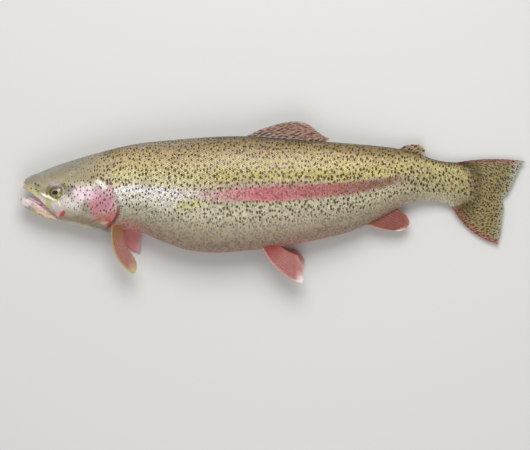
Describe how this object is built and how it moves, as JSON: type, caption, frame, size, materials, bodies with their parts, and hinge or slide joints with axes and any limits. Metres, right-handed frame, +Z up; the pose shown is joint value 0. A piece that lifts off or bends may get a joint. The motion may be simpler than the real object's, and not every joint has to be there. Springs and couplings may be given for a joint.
{
  "type": "rainbow trout",
  "caption": "Life-size still model of a caught rainbow trout lying on its right flank, mouth slightly open, fins half spread.",
  "frame": {"origin": "middle of the fish's outline seen from above, at the floor it lies on", "axes": "+X from the head to the tail along the body, +Y from the belly to the back, +Z up from the floor through the left flank"},
  "size_m": [0.5405, 0.1726, 0.0636],
  "materials": {
    "head_skin": "wet smooth skin, grey-olive above, pearly below",
    "jaw_skin": "wet smooth pale pink skin",
    "mouth_lining": "moist pink lining",
    "cheek_skin": "pearly rose skin with small black spots",
    "eye": "clear wet cornea over a gold iris and black pupil",
    "flank_skin": "wet silvery scales, olive back, pink band, small black spots",
    "spotted_fin": "translucent olive membrane with rows of dark spots",
    "rosy_fin": "translucent rose membrane with pale leading edge"
  },
  "bodies": {
    "root": {"head": "head_skin", "lower_jaw": "jaw_skin", "tongue": "mouth_lining", "gill_cover_left": "cheek_skin", "gill_cover_right": "cheek_skin", "eye_left": "eye", "eye_right": "eye", "trunk": "flank_skin", "tail_stalk": "flank_skin", "dorsal_fin": "spotted_fin", "adipose_fin": "spotted_fin", "tail_fin": "spotted_fin", "anal_fin": "rosy_fin", "pectoral_fin_left": "rosy_fin", "pectoral_fin_right": "rosy_fin", "pelvic_fin_left": "rosy_fin", "pelvic_fin_right": "rosy_fin"}
  },
  "joints": []
}
